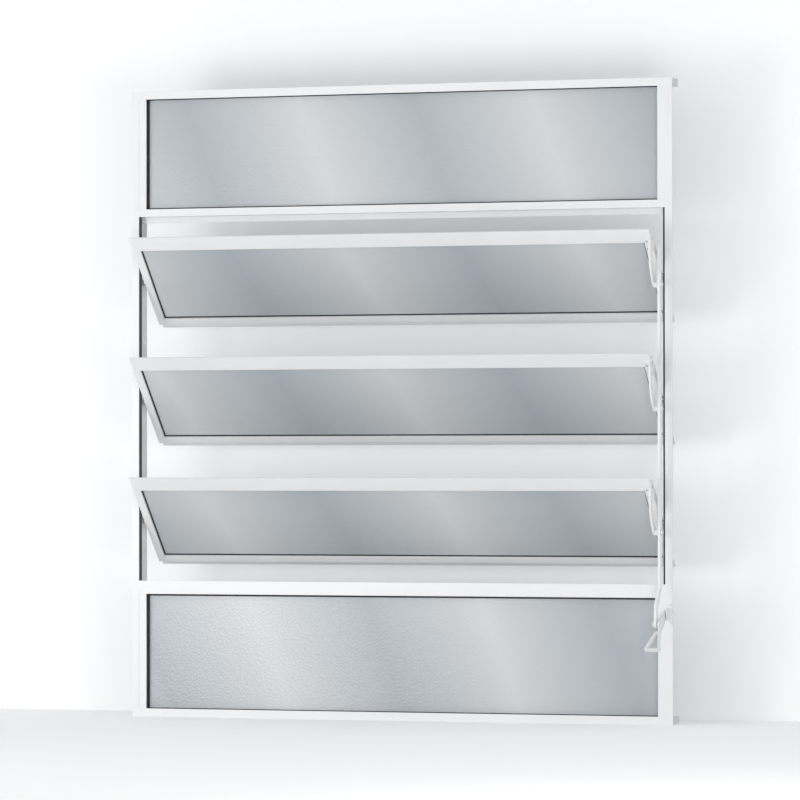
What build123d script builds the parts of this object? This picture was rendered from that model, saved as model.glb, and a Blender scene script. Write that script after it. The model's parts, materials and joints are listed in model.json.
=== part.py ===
"""Pivot window: a welded aluminium frame with a fixed pane above and below, and three glazed
sashes between them that turn together on side pivots, linked by a control rod and a lever.

Axes: +X to the right seen from the room, +Y outdoors, +Z up. The origin is under the middle of
the sill, in the plane of the back faces of the jambs' lap flanges. Lengths are in millimetres.
Each sash is drawn shut and upright about its pivot, then tilted open and set in place.
"""

from build123d import *
import math
import os

# Frame
WIDTH = 900.0
HEIGHT = 1000.0
SKIN = 2.0
DEPTH = 32.0
LAP = 12.0
FACE = 13.0
BEAD = 12.0
BEAD_STEP = 0.6

# Heights of the transoms
TRANSOM_LOW = 196.0
OPENING_LOW = 217.0
OPENING_HIGH = 799.0
TRANSOM_HIGH = 811.0
LEDGE = 205.0
STOP_DROP = 10.0
STOP_Y = 11.0

# Glazing groove and glass, measured from the wall plane
GROOVE_FRONT = 7.0
GROOVE_BACK = 15.0
RIB_HEIGHT = 8.0
GLASS = 4.0
GLASS_SEAT = 2.0
GASKET_SHOW = 2.0

# Sashes
SASHES = 3
SASH_PITCH = 572.0 / SASHES
LOWEST_PIVOT = OPENING_LOW + SASH_PITCH / 2
PIVOT_Y = 10.0
OPEN_ANGLE = 43.5
SASH_HALF = 430.0
RAIL = 12.0
BODY_HALF = 85.0
LIP = 15.0
SASH_GROOVE = 6.0
PIVOT_R = 4.0
RUNNING = 0.05

# Side seals and pivot bushes
SEAL = 3.0
SEAL_FRONT = -1.0
SEAL_BACK = 3.0
BUSH_R = 5.5
BUSH_FLANGE_R = 8.0

# Linkage: the pins that carry the rod stand room-side of the pivots
CRANK_Y = -34.0
CRANK_Z = -15.0
LINK_R = 3.0
OPEN_PIVOT = 0.3
COLLAR_R = 5.0
ARM_X = 426.0
ARM_THICK = 3.0
ARM_WIDTH = 9.0
FOOT_LOW = 56.0
FOOT_HIGH = 84.0
FOOT_INNER = 419.0
ROD_X = 434.0
ROD_THICK = 4.0
ROD_WIDTH = 10.0
ROD_ABOVE_PIN = 58.0
ROD_JOG_TOP = 214.0
ROD_JOG_BOTTOM = 184.0
ROD_BEND_R = 14.0
LEVER_Y = -12.0
LEVER_Z = 172.0
LEVER_X = 440.0
LEVER_THICK = 3.0
LEVER_BOSS_R = 6.0
HANDLE_ANGLE = 221.0
HANDLE_START = 44.0
HANDLE_END = 84.0
HANDLE_X = 438.0
HANDLE_NECK = 9.0
HANDLE_WIDE = 27.0
HANDLE_BAR = 4.5
HANDLE_THICK = 4.0

# Fixing holes in the jambs
FIX_R = 2.5
FIX_Y = 22.0
FIX_SPACING = 190.0

WEB_IN = WIDTH / 2 - LAP
WEB_OUT = WEB_IN + SKIN
BEAD_IN = WEB_IN - BEAD
MID_HEIGHT = LOWEST_PIVOT + SASH_PITCH


def along_x(points, start, end):
    """A profile of (y, z) points, run from start to end along X."""
    face = make_face(Polyline(*points, close=True))
    return extrude(Plane.YZ.offset(start) * face, amount=end - start)


def along_z(points, start, end):
    """A profile of (x, y) points, run from start to end along Z."""
    face = make_face(Polyline(*points, close=True))
    return extrude(Plane.XY.offset(start) * face, amount=end - start)


def block(low, high):
    """A box from its lowest to its highest corner."""
    size = [b - a for a, b in zip(low, high)]
    middle = [(a + b) / 2 for a, b in zip(low, high)]
    return Pos(*middle) * Box(*size)


def pin(radius, start, end, y, z):
    """A round bar along X."""
    return Pos((start + end) / 2, y, z) * Rot(0, 90, 0) * Cylinder(radius, abs(end - start))


def mirrored(shape):
    """The same piece on the other side of the window."""
    return mirror(shape, about=Plane.YZ)


def channel_points(face, front=-SKIN):
    """A glazing channel in section, open upwards: two walls on a web, with two ribs between."""
    rib_front = GROOVE_FRONT - SKIN
    rib_back = GROOVE_BACK + SKIN
    rib_top = SKIN + RIB_HEIGHT
    return [
        (front, 0),
        (DEPTH, 0),
        (DEPTH, face),
        (DEPTH - SKIN, face),
        (DEPTH - SKIN, SKIN),
        (rib_back, SKIN),
        (rib_back, rib_top),
        (GROOVE_BACK, rib_top),
        (GROOVE_BACK, SKIN),
        (GROOVE_FRONT, SKIN),
        (GROOVE_FRONT, rib_top),
        (rib_front, rib_top),
        (rib_front, SKIN),
        (front + SKIN, SKIN),
        (front + SKIN, face),
        (front, face),
    ]


def make_sill():
    return along_x(channel_points(FACE), -WIDTH / 2, WIDTH / 2)


def make_head():
    turned = [(y, HEIGHT - z) for y, z in channel_points(FACE)]
    return along_x(turned, -WIDTH / 2, WIDTH / 2)


def pivot_heights():
    """The sashes' pivots, from the highest down."""
    return [LOWEST_PIVOT + SASH_PITCH * k for k in reversed(range(SASHES))]


def make_right_jamb():
    """A lap flange over the wall and a web into the opening, bored for bushes and fixings."""
    section = [
        (WEB_IN, -SKIN),
        (WIDTH / 2, -SKIN),
        (WIDTH / 2, 0),
        (WEB_OUT, 0),
        (WEB_OUT, DEPTH),
        (WEB_IN, DEPTH),
    ]
    jamb = along_z(section, FACE, HEIGHT - FACE)
    for z in pivot_heights():
        jamb -= pin(BUSH_R, WEB_IN - SKIN, WEB_OUT + SKIN, PIVOT_Y, z)
    for z in (MID_HEIGHT - FIX_SPACING / 2, MID_HEIGHT + FIX_SPACING / 2):
        jamb -= pin(FIX_R, WEB_IN - SKIN, WEB_OUT + SKIN, FIX_Y, z)
    return jamb


def make_right_bead(low, high):
    """The channel snapped to the jamb beside a fixed pane, a hair behind the jamb's face."""
    section = [(WEB_IN - depth, y) for y, depth in channel_points(BEAD, BEAD_STEP - SKIN)]
    return along_z(section, low, high)


def make_upper_transom():
    """Channel for the top pane, with a stop hanging behind the upper sash's lip."""
    raised = [(y, OPENING_HIGH + z) for y, z in channel_points(TRANSOM_HIGH - OPENING_HIGH)]
    stop = block(
        (-WEB_IN, STOP_Y, OPENING_HIGH - STOP_DROP),
        (WEB_IN, STOP_Y + SKIN, OPENING_HIGH),
    )
    return along_x(raised, -WEB_IN, WEB_IN) + stop


def make_lower_transom():
    """Channel for the bottom pane, whose front wall stands up as a weather bar."""
    web_top = LEDGE + SKIN
    hung = [(y, web_top - z) for y, z in channel_points(web_top - TRANSOM_LOW)]
    upstand = block((-WEB_IN, -SKIN, web_top - SKIN), (WEB_IN, 0, OPENING_LOW))
    return along_x(hung, -WEB_IN, WEB_IN) + upstand


def fixed_pane(low_web, high_web):
    """A pane and its gasket between two webs: the gasket is a U round the pane's edge."""
    side = WEB_IN - SKIN
    low = low_web + GLASS_SEAT
    high = high_web - GLASS_SEAT
    middle = (GROOVE_FRONT + GROOVE_BACK) / 2
    glass = block(
        (-side + GLASS_SEAT, middle - GLASS / 2, low),
        (side - GLASS_SEAT, middle + GLASS / 2, high),
    )
    ring = block((-side, GROOVE_FRONT, low_web), (side, GROOVE_BACK, high_web))
    in_x = BEAD_IN - GASKET_SHOW
    in_low = low_web + FACE - SKIN + GASKET_SHOW / 2
    in_high = high_web - FACE + SKIN - GASKET_SHOW / 2
    sight = block((-in_x, GROOVE_FRONT - 1, in_low), (in_x, GROOVE_BACK + 1, in_high))
    return glass, ring - sight - glass


def make_right_seal():
    return block((WEB_IN - SEAL, SEAL_FRONT, OPENING_LOW), (WEB_IN, SEAL_BACK, OPENING_HIGH))


def make_right_bushes():
    """Nylon bushes through the jamb, flanged on the wall side."""
    bushes = []
    for z in pivot_heights():
        bush = pin(BUSH_R, WEB_IN - SEAL + 0.5, WEB_OUT, PIVOT_Y, z)
        bush += pin(BUSH_FLANGE_R, WEB_OUT, WEB_OUT + SKIN, PIVOT_Y, z)
        bush -= pin(PIVOT_R + RUNNING, WEB_IN - 2 * SEAL, WEB_OUT + 2 * SKIN, PIVOT_Y, z)
        bushes.append(bush)
    return bushes


def rail_points():
    """Top rail in section, shut: room side at low n, with the weather lip standing up."""
    half = RAIL / 2
    slot = SASH_GROOVE / 2
    low = BODY_HALF - RAIL
    return [
        (-half, low),
        (-slot, low),
        (-slot, low + SASH_GROOVE),
        (slot, low + SASH_GROOVE),
        (slot, low),
        (half, low),
        (half, BODY_HALF),
        (-half + SKIN, BODY_HALF),
        (-half + SKIN, BODY_HALF + LIP),
        (-half, BODY_HALF + LIP),
    ]


def make_right_stile():
    half = RAIL / 2
    slot = SASH_GROOVE / 2
    inner = SASH_HALF - RAIL
    section = [
        (SASH_HALF, -half),
        (SASH_HALF, half),
        (inner, half),
        (inner, slot),
        (inner + SASH_GROOVE, slot),
        (inner + SASH_GROOVE, -slot),
        (inner, -slot),
        (inner, -half),
    ]
    run = BODY_HALF - RAIL
    return along_z(section, -run, run) - pivot_stub()


def pivot_stub():
    """The stub shaft on the right of a sash, let into its stile."""
    return pin(PIVOT_R, SASH_HALF - SASH_GROOVE + 1, WEB_OUT + SKIN, 0, 0)


def sash_glazing():
    """Glass and gasket of a sash, held in the grooves of its rails and stiles."""
    edge_x = SASH_HALF - RAIL + SASH_GROOVE
    edge_z = BODY_HALF - RAIL + SASH_GROOVE
    seat = 1.5
    half = SASH_GROOVE / 2
    glass = block(
        (-edge_x + seat, -GLASS / 2, -edge_z + seat), (edge_x - seat, GLASS / 2, edge_z - seat)
    )
    ring = block((-edge_x, -half, -edge_z), (edge_x, half, edge_z))
    sight_x = SASH_HALF - RAIL - GASKET_SHOW
    sight_z = BODY_HALF - RAIL - GASKET_SHOW
    sight = block((-sight_x, -half - 1, -sight_z), (sight_x, half + 1, sight_z))
    return glass, ring - sight - glass


def crank_when_shut():
    """Where the linkage pin stands from the pivot with the sash upright, as (n, s)."""
    turn = math.radians(OPEN_ANGLE)
    across = CRANK_Y * math.cos(turn) + CRANK_Z * math.sin(turn)
    along = -CRANK_Y * math.sin(turn) + CRANK_Z * math.cos(turn)
    return across, along


def make_arm():
    """The curved arm of a sash: foot on the stile's room face, pin through the rod."""
    face = -RAIL / 2
    pin_n, pin_s = crank_when_shut()
    start = (face - SKIN / 2, (FOOT_LOW + FOOT_HIGH) / 2 + 4)
    bulge = ((start[0] + 2.2 * pin_n) / 3.2, (start[1] + pin_s) / 2 + 6)
    sweep = SlotArc(ThreePointArc(start, bulge, (pin_n, pin_s)), ARM_WIDTH)
    arm = extrude(Plane.YZ.offset(ARM_X) * sweep, amount=ARM_THICK)
    room_side = block((ARM_X - 1, pin_n - 20, 0), (ARM_X + ARM_THICK + 1, face, FOOT_HIGH + 20))
    arm = arm & room_side
    arm += block((FOOT_INNER, face - SKIN, FOOT_LOW), (ARM_X + ARM_THICK, face, FOOT_HIGH))
    rod_out = ROD_X + ROD_THICK
    arm += pin(LINK_R, ARM_X, rod_out + 2.5, pin_n, pin_s)
    arm += pin(COLLAR_R, ARM_X + ARM_THICK, ROD_X - 0.5, pin_n, pin_s)
    arm += pin(COLLAR_R, rod_out + 0.5, rod_out + 2.5, pin_n, pin_s)
    return arm


def rod_pins():
    """Centres of the rod's holes at rest, as (y, z), from the top."""
    pins = [(PIVOT_Y + CRANK_Y, z + CRANK_Z) for z in pivot_heights()]
    return pins + [(LEVER_Y + CRANK_Y, LEVER_Z + CRANK_Z)]


def make_rod():
    """A flat bar down the line of pins, jogged room-side to meet the lever."""
    pins = rod_pins()
    line_y = pins[0][0]
    low_y, low_z = pins[-1]
    path = FilletPolyline(
        (line_y, pins[0][1] + ROD_ABOVE_PIN),
        (line_y, ROD_JOG_TOP),
        (low_y, ROD_JOG_BOTTOM),
        (low_y, low_z),
        radius=ROD_BEND_R,
    )
    flat = trace(path, line_width=ROD_WIDTH)
    flat += Pos(low_y, low_z) * Circle(ROD_WIDTH / 2 + 1)
    flat += Pos(line_y, pins[0][1] + ROD_ABOVE_PIN) * Circle(ROD_WIDTH / 2)
    rod = extrude(Plane.YZ.offset(ROD_X) * flat, amount=ROD_THICK)
    for k, (y, z) in enumerate(pins):
        play = RUNNING if k == 0 else OPEN_PIVOT
        rod -= pin(LINK_R + play, ROD_X - 1, ROD_X + ROD_THICK + 1, y, z)
    return rod


def make_lever():
    """Bell crank with its pin through the rod's end, and a three-cornered loop handle."""
    pin_y = LEVER_Y + CRANK_Y
    pin_z = LEVER_Z + CRANK_Z
    turn = math.radians(HANDLE_ANGLE)
    along = Vector(0, math.cos(turn), math.sin(turn))
    neck_y = LEVER_Y + HANDLE_START * math.cos(turn)
    neck_z = LEVER_Z + HANDLE_START * math.sin(turn)
    plate = make_hull(
        (Pos(LEVER_Y, LEVER_Z) * Circle(LEVER_BOSS_R)).edges()
        + (Pos(pin_y, pin_z) * Circle(LEVER_BOSS_R)).edges()
        + (Pos(neck_y, neck_z) * Circle(HANDLE_THICK / 2)).edges()
    )
    lever = extrude(Plane.YZ.offset(LEVER_X) * plate, amount=LEVER_THICK)

    loop_plane = Plane(
        origin=(HANDLE_X, LEVER_Y, LEVER_Z), x_dir=(1, 0, 0), z_dir=Vector(1, 0, 0).cross(along)
    )
    length = HANDLE_END - HANDLE_START
    outer = Polyline(
        (-HANDLE_NECK / 2, HANDLE_START - 2),
        (HANDLE_NECK / 2, HANDLE_START - 2),
        (HANDLE_WIDE / 2, HANDLE_START + length),
        (-HANDLE_WIDE / 2, HANDLE_START + length),
        close=True,
    )
    loop = make_face(outer)
    loop = fillet(loop.vertices(), radius=3.5)
    inner = offset(loop, amount=-HANDLE_BAR)
    bar = extrude(loop_plane * (loop - inner), amount=HANDLE_THICK / 2, both=True)
    lever += bar
    lever += pin(LINK_R, ROD_X - 2, LEVER_X + LEVER_THICK, pin_y, pin_z)
    lever += pin(COLLAR_R, ROD_X - 2.5, ROD_X - 0.5, pin_y, pin_z)
    lever -= pin(LINK_R + RUNNING, LEVER_X - 1, LEVER_X + LEVER_THICK + 1, LEVER_Y, LEVER_Z)
    return lever


def make_lever_bracket():
    """Angle on the right jamb's face with the fixed pin that the lever turns on."""
    cheek_x = LEVER_X + LEVER_THICK + 1
    reach = 18.0
    half = 9.0
    cheek = block(
        (cheek_x, LEVER_Y, LEVER_Z - half), (cheek_x + SKIN, -SKIN, LEVER_Z + half)
    )
    cheek += pin(half, cheek_x, cheek_x + SKIN, LEVER_Y, LEVER_Z)
    cheek &= block(
        (cheek_x, -SKIN - reach, LEVER_Z - half), (cheek_x + SKIN, -SKIN, LEVER_Z + half)
    )
    foot = block(
        (cheek_x, -2 * SKIN, LEVER_Z - 2 * half), (WIDTH / 2, -SKIN, LEVER_Z + 2 * half)
    )
    bracket = cheek + foot
    bracket += pin(LINK_R, LEVER_X - 1.5, cheek_x + SKIN, LEVER_Y, LEVER_Z)
    bracket += pin(COLLAR_R - 0.5, LEVER_X - 1.8, LEVER_X - 0.4, LEVER_Y, LEVER_Z)
    return bracket


def placed(shape, height):
    """A sash piece tilted open about its pivot and set at its height."""
    return Pos(0, PIVOT_Y, height) * Rot(OPEN_ANGLE, 0, 0) * shape


def sash_pieces(number, height):
    """The named pieces of one sash, in place."""
    top_rail = along_x(rail_points(), -SASH_HALF, SASH_HALF)
    bottom_rail = along_x([(-n, -s) for n, s in rail_points()], -SASH_HALF, SASH_HALF)
    right_stile = make_right_stile()
    glass, gasket = sash_glazing()
    stub = pivot_stub()
    pieces = {
        "top_rail": [top_rail],
        "bottom_rail": [bottom_rail],
        "left_stile": [mirrored(right_stile)],
        "right_stile": [right_stile],
        "glass": [glass],
        "gasket": [gasket],
        "pivots": [mirrored(stub), stub],
        "arm": [make_arm()],
    }
    return {
        f"sash_{number}_{name}": [placed(shape, height) for shape in shapes]
        for name, shapes in pieces.items()
    }


def make_pieces():
    """Every node's name and its solids."""
    right_jamb = make_right_jamb()
    right_seal = make_right_seal()
    top_bead = make_right_bead(TRANSOM_HIGH, HEIGHT - FACE)
    bottom_bead = make_right_bead(FACE, TRANSOM_LOW)
    top_glass, top_gasket = fixed_pane(OPENING_HIGH + SKIN, HEIGHT - SKIN)
    bottom_glass, bottom_gasket = fixed_pane(SKIN, LEDGE)
    bushes = make_right_bushes()
    pieces = {
        "sill": [make_sill()],
        "head": [make_head()],
        "right_jamb": [right_jamb],
        "left_jamb": [mirrored(right_jamb)],
        "upper_transom": [make_upper_transom()],
        "lower_transom": [make_lower_transom()],
        "top_right_bead": [top_bead],
        "top_left_bead": [mirrored(top_bead)],
        "bottom_right_bead": [bottom_bead],
        "bottom_left_bead": [mirrored(bottom_bead)],
        "top_glass": [top_glass],
        "top_gasket": [top_gasket],
        "bottom_glass": [bottom_glass],
        "bottom_gasket": [bottom_gasket],
        "right_side_seal": [right_seal],
        "left_side_seal": [mirrored(right_seal)],
        "right_bushes": bushes,
        "left_bushes": [mirrored(bush) for bush in bushes],
        "lever_bracket": [make_lever_bracket()],
        "control_rod": [make_rod()],
        "lever": [make_lever()],
    }
    for number, height in enumerate(pivot_heights(), start=1):
        pieces.update(sash_pieces(number, height))
    return pieces


os.makedirs("parts", exist_ok=True)
for name, shapes in make_pieces().items():
    solids = [solid for shape in shapes for solid in shape.solids()]
    node = solids[0] if len(solids) == 1 else Compound(children=solids)
    export_step(node, f"parts/{name}.step")
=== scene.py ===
"""Looks of the pivot window: finishes, rivets and screws, studio and camera. Lengths in metres."""

import json
import math

import bmesh
import bpy
from mathutils import Matrix, Quaternion, Vector


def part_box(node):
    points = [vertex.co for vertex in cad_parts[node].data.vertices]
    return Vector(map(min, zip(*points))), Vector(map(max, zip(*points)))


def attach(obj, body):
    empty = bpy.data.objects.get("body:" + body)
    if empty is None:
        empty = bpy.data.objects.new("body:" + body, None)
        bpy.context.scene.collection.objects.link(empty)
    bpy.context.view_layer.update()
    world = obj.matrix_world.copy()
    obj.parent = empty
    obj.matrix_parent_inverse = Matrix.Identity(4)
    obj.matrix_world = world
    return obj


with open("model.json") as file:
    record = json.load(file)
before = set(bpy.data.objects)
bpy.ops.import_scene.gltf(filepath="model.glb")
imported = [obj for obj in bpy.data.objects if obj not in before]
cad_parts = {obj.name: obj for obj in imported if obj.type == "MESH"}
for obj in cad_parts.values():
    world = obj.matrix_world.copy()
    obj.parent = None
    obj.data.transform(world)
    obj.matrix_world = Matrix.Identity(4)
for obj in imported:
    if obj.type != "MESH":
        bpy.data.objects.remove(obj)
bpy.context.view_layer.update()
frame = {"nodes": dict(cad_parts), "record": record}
RECORD = frame["record"]
NODES = frame["nodes"]

# Places taken over from the construction
OPEN_ANGLE = math.radians(43.5)
PIVOTS = {j["child"]: Vector(j["pos_m"]) for j in RECORD["behaviour"]["joints"]}
SASHES = ("sash_1", "sash_2", "sash_3")
STILE_MIDDLE = 0.4245
FOOT_FACE = -0.008
FOOT_RIVETS = (0.0625, 0.0775)
SCREW_OFFSET = 0.0135

# Radius at which coated and moulded edges are shaded
EDGE_RADIUS = 0.0005

# Painted reflection on the glass: soft diagonal bands of painted sheen and painted shade in its
# colour, lightest where x + lean * z meets the crest, in metres
PAINTED_BAND_LEAN = 0.386
PAINTED_BAND_CREST = 0.208
HALF_PAINTED_BAND = 0.194
# Colours of the painted bands: painted sheen at the crests, a middle tone, painted shade at the
# troughs
PAINTED_SHEEN = (0.715, 0.72, 0.72)
PAINTED_BAND_MIDDLE = (0.565, 0.60, 0.625)
PAINTED_BAND_SHADE = (0.45, 0.49, 0.53)

# The photograph's view
FOCAL_PIXELS = 5000.0
FRAME_PIXELS = 800.0
SENSOR = 36.0
EYE = Vector((2.6097, -7.4132, 0.3982))
TARGET = Vector((0.0041, 0.0, 0.5037))
ROLL = math.radians(-0.048)

# Studio: name, place, size and watts of each lamp
WALL_Y = 0.17
SKY_LEVEL = 0.58
LIFT = 0.18
LAMPS = (
    ("key", (-1.6, -4.3, 1.3), 2.4, 18.0),
    ("low_left", (-1.2, -2.1, 0.24), 0.9, 14.0),
    ("low_right", (1.4, -2.1, 0.24), 0.9, 12.5),
    ("rim", (2.5, 3.0, 2.8), 2.0, 12.0),
)


def new_material(name):
    """An empty material with its shader and output."""
    material = bpy.data.materials.new(name)
    material.use_nodes = True
    return material, material.node_tree, material.node_tree.nodes["Principled BSDF"]


def add_node(tree, kind, **values):
    """A node with some of its input sockets set."""
    node = tree.nodes.new(kind)
    for key, value in values.items():
        node.inputs[key].default_value = value
    return node


def object_space(tree):
    return tree.nodes.new("ShaderNodeTexCoord").outputs["Object"]


def add_bump(tree, shader, height, strength, distance, edge=None):
    """Fine relief, over edges that are shaded as rounded where an edge radius is given."""
    bump = add_node(tree, "ShaderNodeBump", Strength=strength, Distance=distance)
    if edge:
        rounding = add_node(tree, "ShaderNodeBevel", Radius=edge)
        tree.links.new(rounding.outputs["Normal"], bump.inputs["Normal"])
    tree.links.new(height, bump.inputs["Height"])
    tree.links.new(bump.outputs["Normal"], shader.inputs["Normal"])


def add_ramp(tree, factor, stops):
    """A colour ramp with (place, colour) stops."""
    ramp = tree.nodes.new("ShaderNodeValToRGB")
    while len(ramp.color_ramp.elements) < len(stops):
        ramp.color_ramp.elements.new(0.5)
    for element, (place, colour) in zip(ramp.color_ramp.elements, stops):
        element.position = place
        element.color = (*colour, 1.0)
    tree.links.new(factor, ramp.inputs["Fac"])
    return ramp.outputs["Color"]


def powder_coat(name, low, high, roughness):
    """Satin white coating: faint mottling and a fine orange-peel surface."""
    material, tree, shader = new_material(name)
    place = object_space(tree)
    mottle = add_node(tree, "ShaderNodeTexNoise", Scale=9.0, Detail=3.0)
    tree.links.new(place, mottle.inputs["Vector"])
    colour = add_ramp(tree, mottle.outputs["Fac"], [(0.3, low), (0.7, high)])
    tree.links.new(colour, shader.inputs["Base Color"])
    shader.inputs["Roughness"].default_value = roughness
    shader.inputs["Coat Weight"].default_value = 0.15
    shader.inputs["Coat Roughness"].default_value = 0.25
    peel = add_node(tree, "ShaderNodeTexNoise", Scale=1400.0, Detail=2.0)
    tree.links.new(place, peel.inputs["Vector"])
    add_bump(tree, shader, peel.outputs["Fac"], 0.12, 0.0001, EDGE_RADIUS)
    return material


def math_node(tree, operation, *inputs):
    """A Math node whose inputs are links or numbers."""
    node = tree.nodes.new("ShaderNodeMath")
    node.operation = operation
    for socket, value in zip(node.inputs, inputs):
        if isinstance(value, (int, float)):
            socket.default_value = value
        else:
            tree.links.new(value, socket)
    return node.outputs[0]


def painted_sheen_glass():
    """Finely pitted bluish glass; broad soft diagonal bands of painted sheen and painted shade are
    painted into its colour across the whole window.
    """
    material, tree, shader = new_material("Pitted glass with painted sheen")
    place = object_space(tree)
    parts = tree.nodes.new("ShaderNodeSeparateXYZ")
    tree.links.new(place, parts.inputs["Vector"])
    # Painted reflection: a triangle wave along the diagonal gives painted sheen at the crests and
    # painted shade at the troughs as base colour
    leaning = math_node(tree, "MULTIPLY_ADD", parts.outputs["Z"], PAINTED_BAND_LEAN, parts.outputs["X"])
    steps = math_node(tree, "MULTIPLY_ADD", leaning, 1 / HALF_PAINTED_BAND, -PAINTED_BAND_CREST / HALF_PAINTED_BAND)
    painted_shade_share = math_node(tree, "PINGPONG", steps, 1.0)
    colour = add_ramp(tree, painted_shade_share, [(0.0, PAINTED_SHEEN), (0.5, PAINTED_BAND_MIDDLE), (1.0, PAINTED_BAND_SHADE)])
    tree.links.new(colour, shader.inputs["Base Color"])
    shader.inputs["Roughness"].default_value = 0.24
    shader.inputs["Transmission Weight"].default_value = 0.08
    shader.inputs["IOR"].default_value = 1.5
    pits = add_node(tree, "ShaderNodeTexVoronoi", Scale=300.0)
    tree.links.new(place, pits.inputs["Vector"])
    add_bump(tree, shader, pits.outputs["Distance"], 0.5, 0.0004)
    return material


def black_rubber():
    """Matt black glazing rubber, a little dusty."""
    material, tree, shader = new_material("Glazing rubber")
    dust = add_node(tree, "ShaderNodeTexNoise", Scale=60.0, Detail=4.0)
    tree.links.new(object_space(tree), dust.inputs["Vector"])
    colour = add_ramp(
        tree, dust.outputs["Fac"], [(0.35, (0.012, 0.012, 0.013)), (0.75, (0.03, 0.03, 0.032))]
    )
    tree.links.new(colour, shader.inputs["Base Color"])
    shader.inputs["Roughness"].default_value = 0.6
    add_bump(tree, shader, dust.outputs["Fac"], 0.2, 0.0001)
    return material


def turned_steel():
    """Zinc-plated steel with fine rings of machining."""
    material, tree, shader = new_material("Plated steel")
    shader.inputs["Metallic"].default_value = 1.0
    grain = add_node(tree, "ShaderNodeTexNoise", Scale=500.0, Detail=3.0)
    tree.links.new(object_space(tree), grain.inputs["Vector"])
    colour = add_ramp(
        tree, grain.outputs["Fac"], [(0.3, (0.52, 0.53, 0.54)), (0.7, (0.68, 0.68, 0.67))]
    )
    tree.links.new(colour, shader.inputs["Base Color"])
    shader.inputs["Roughness"].default_value = 0.3
    add_bump(tree, shader, grain.outputs["Fac"], 0.1, 0.00005)
    return material


WHITE = powder_coat("White powder coat", (0.86, 0.865, 0.87), (0.90, 0.90, 0.905), 0.36)
MOULDED = powder_coat("White moulding", (0.80, 0.81, 0.82), (0.85, 0.855, 0.86), 0.42)
NYLON = powder_coat("Natural nylon", (0.70, 0.69, 0.66), (0.76, 0.75, 0.72), 0.5)
GLASS = painted_sheen_glass()
RUBBER = black_rubber()
STEEL = turned_steel()
FINISHES = {
    "frame_white": WHITE,
    "glass": GLASS,
    "rubber": RUBBER,
    "nylon": NYLON,
    "steel": STEEL,
    "handle": MOULDED,
}


def dress_nodes():
    """Finish every CAD node through its object's material slots."""
    for part in RECORD["subparts"]:
        for slot in NODES[part["node"]].material_slots:
            slot.material = FINISHES[part["material_slot"]]


def lathe(name, outline, material, turn, steps=24):
    """A round piece: (radius, height) points turned about its own Z, then put in place."""
    mesh = bpy.data.meshes.new(name)
    shape = bmesh.new()
    rings = []
    for radius, height in outline:
        angles = [2 * math.pi * k / steps for k in range(steps)]
        rings.append(
            [shape.verts.new((radius * math.cos(a), radius * math.sin(a), height)) for a in angles]
        )
    for low, high in zip(rings, rings[1:]):
        for k in range(steps):
            after = (k + 1) % steps
            shape.faces.new((low[k], low[after], high[after], high[k]))
    shape.faces.new(list(reversed(rings[0])))
    shape.faces.new(rings[-1])
    bmesh.ops.transform(shape, matrix=turn, verts=shape.verts)
    bmesh.ops.recalc_face_normals(shape, faces=shape.faces)
    shape.to_mesh(mesh)
    shape.free()
    mesh.polygons.foreach_set("use_smooth", [len(f.vertices) == 4 for f in mesh.polygons])
    mesh.materials.append(material)
    piece = bpy.data.objects.new(name, mesh)
    bpy.context.collection.objects.link(piece)
    return piece


def dome(radius, height, steps=6):
    """The outline of a domed head that stands on a flat face."""
    outline = [(radius, -0.0002)]
    for k in range(steps):
        angle = math.pi / 2 * k / steps
        outline.append((radius * math.cos(angle), height * math.sin(angle)))
    return outline


def facing(place, normal):
    """A matrix that turns +Z to the normal and moves to the place."""
    return Matrix.Translation(place) @ Vector(normal).to_track_quat("Z", "Y").to_matrix().to_4x4()


def on_sash(body, x, across, along):
    """A point of a sash, from its pivot: across its thickness and along its height."""
    sine, cosine = math.sin(OPEN_ANGLE), math.cos(OPEN_ANGLE)
    centre = PIVOTS[body]
    return Vector(
        (
            x,
            centre.y - along * sine + across * cosine,
            centre.z + along * cosine + across * sine,
        )
    )


def add_foot_rivets():
    """Two dome rivets hold each arm's foot to its stile."""
    normal = (0, -math.cos(OPEN_ANGLE), -math.sin(OPEN_ANGLE))
    for body in SASHES:
        for k, along in enumerate(FOOT_RIVETS):
            place = facing(on_sash(body, STILE_MIDDLE - 0.0015, FOOT_FACE, along), normal)
            rivet = lathe(f"{body}_foot_rivet_{k}", dome(0.0024, 0.0013), STEEL, place)
            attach(rivet, body)


def add_pin_heads():
    """Pressed domes on the outer ends of the linkage pins, where they hold the rod."""
    rod = PIVOTS["control_rod"]
    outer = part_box("sash_1_arm")[1][0]
    for body in SASHES:
        centre = PIVOTS[body] + (rod - PIVOTS["sash_1"])
        place = facing(Vector((outer, centre.y, centre.z)), (1, 0, 0))
        head = lathe(f"{body}_pin_head", dome(0.0042, 0.0012), STEEL, place)
        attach(head, body)


def add_bracket_screws():
    """Two countersunk screws hold the lever's bracket."""
    face = -0.004
    middle = PIVOTS["lever"].z
    for k, side in enumerate((-1, 1)):
        place = facing(Vector((0.4480, face, middle + side * SCREW_OFFSET)), (0, -1, 0))
        screw = lathe(f"bracket_screw_{k}", dome(0.0017, 0.0009), STEEL, place)
        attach(screw, "root")


def add_transom_screws():
    """Pan-head screws through the jambs' webs into the transoms, seen from the sides."""
    web_face = 0.440
    middle_y = 0.023
    heights = (
        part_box("upper_transom")[1][2] - 0.006,
        (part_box("lower_transom")[0][2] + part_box("lower_transom")[1][2]) / 2,
    )
    for side, name in ((-1, "left"), (1, "right")):
        for label, z in zip(("upper", "lower"), heights):
            place = facing(Vector((side * web_face, middle_y, z)), (side, 0, 0))
            screw = lathe(f"{name}_{label}_transom_screw", dome(0.0034, 0.0018), STEEL, place)
            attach(screw, "root")


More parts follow.
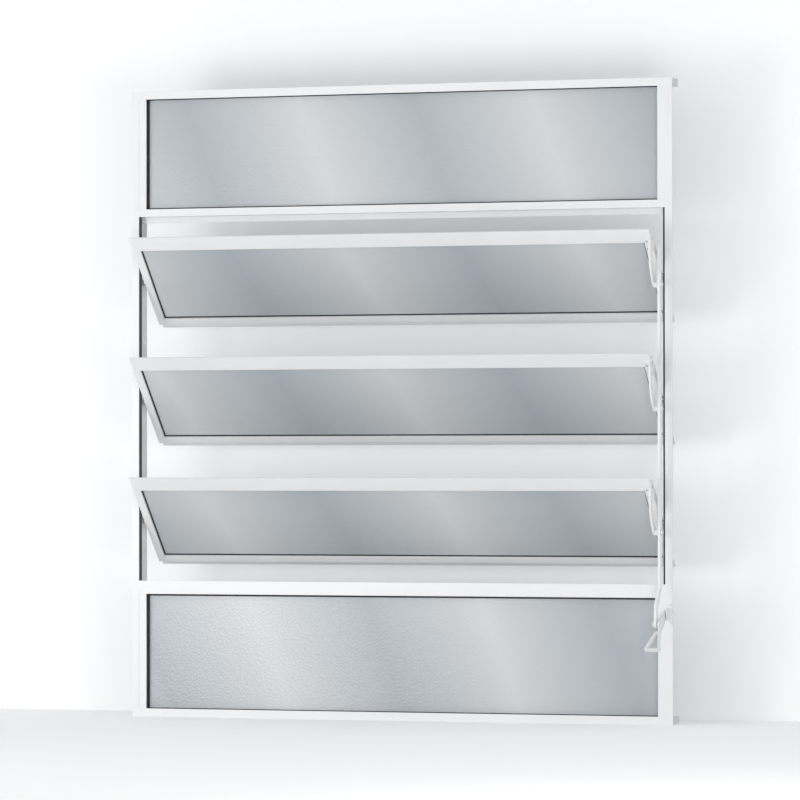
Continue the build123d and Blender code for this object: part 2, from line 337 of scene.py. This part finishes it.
def plane(name, corners, material):
    mesh = bpy.data.meshes.new(name)
    mesh.from_pydata(corners, [], [(0, 1, 2, 3)])
    mesh.materials.append(material)
    piece = bpy.data.objects.new(name, mesh)
    bpy.context.collection.objects.link(piece)
    return piece


def seen_rays(tree):
    """One for rays by which the background is seen: straight, in metal or through glass."""
    path = tree.nodes.new("ShaderNodeLightPath")
    seen = math_node(
        tree, "ADD", path.outputs["Is Camera Ray"], path.outputs["Is Glossy Ray"]
    )
    return math_node(tree, "ADD", seen, path.outputs["Is Transmission Ray"])


def mix(tree, factor, first, second):
    node = tree.nodes.new("ShaderNodeMixShader")
    for socket, link in zip(node.inputs, (factor, first, second)):
        tree.links.new(link, socket)
    return node.outputs[0]


def studio_paint(name, one_sided):
    """Pale paint that is seen as near white; a one-sided wall is clear from behind."""
    material, tree, shader = new_material(name)
    shader.inputs["Base Color"].default_value = (0.93, 0.93, 0.93, 1.0)
    shader.inputs["Roughness"].default_value = 0.9
    shader.inputs["Specular IOR Level"].default_value = 0.0
    lift = add_node(tree, "ShaderNodeEmission", Color=(1.0, 1.0, 1.0, 1.0), Strength=LIFT)
    bright = tree.nodes.new("ShaderNodeAddShader")
    tree.links.new(shader.outputs[0], bright.inputs[0])
    tree.links.new(lift.outputs[0], bright.inputs[1])
    surface = mix(tree, seen_rays(tree), shader.outputs[0], bright.outputs[0])
    if one_sided:
        clear = tree.nodes.new("ShaderNodeBsdfTransparent")
        side = tree.nodes.new("ShaderNodeNewGeometry")
        surface = mix(tree, side.outputs["Backfacing"], surface, clear.outputs[0])
    tree.links.new(surface, tree.nodes["Material Output"].inputs["Surface"])
    return material


def build_sky():
    """An even cool sky that is seen as white."""
    world = bpy.data.worlds.new("Sky")
    bpy.context.scene.world = world
    world.use_nodes = True
    tree = world.node_tree
    sky = tree.nodes["Background"]
    sky.inputs["Color"].default_value = (0.975, 0.985, 1.0, 1.0)
    sky.inputs["Strength"].default_value = SKY_LEVEL
    white = add_node(tree, "ShaderNodeBackground", Color=(1.0, 1.0, 1.0, 1.0), Strength=1.0)
    surface = mix(tree, seen_rays(tree), sky.outputs[0], white.outputs[0])
    tree.links.new(surface, tree.nodes["World Output"].inputs["Surface"])


def build_studio():
    """A pale floor, a pale wall close behind, soft lamps and an even sky."""
    floor_reach = 30.0
    reach = 6.0
    floor = studio_paint("Studio floor", False)
    wall = studio_paint("Studio wall", True)
    plane(
        "floor",
        [(x * floor_reach, y * floor_reach, 0) for x, y in ((-1, -1), (1, -1), (1, 1), (-1, 1))],
        floor,
    )
    plane(
        "wall",
        [(-reach, WALL_Y, 0), (reach, WALL_Y, 0), (reach, WALL_Y, reach), (-reach, WALL_Y, reach)],
        wall,
    )
    build_sky()
    for name, place, size, watts in LAMPS:
        lamp = bpy.data.lights.new(name, "AREA")
        lamp.size = size
        lamp.energy = watts
        holder = bpy.data.objects.new(name, lamp)
        holder.location = place
        holder.visible_camera = False
        aim = Vector((0, 0, 0.5)) - Vector(place)
        holder.rotation_euler = aim.to_track_quat("-Z", "Y").to_euler()
        bpy.context.collection.objects.link(holder)


def build_camera():
    data = bpy.data.cameras.new("camera")
    data.sensor_width = SENSOR
    data.lens = FOCAL_PIXELS / FRAME_PIXELS * SENSOR
    camera = bpy.data.objects.new("camera", data)
    camera.location = EYE
    look = (TARGET - EYE).to_track_quat("-Z", "Y")
    camera.rotation_mode = "QUATERNION"
    camera.rotation_quaternion = look @ Quaternion((0, 0, 1), ROLL)
    bpy.context.collection.objects.link(camera)
    bpy.context.scene.camera = camera


build_camera()
dress_nodes()
add_foot_rivets()
add_pin_heads()
add_bracket_screws()
add_transom_screws()
build_studio()
bpy.context.scene.view_settings.view_transform = "Standard"
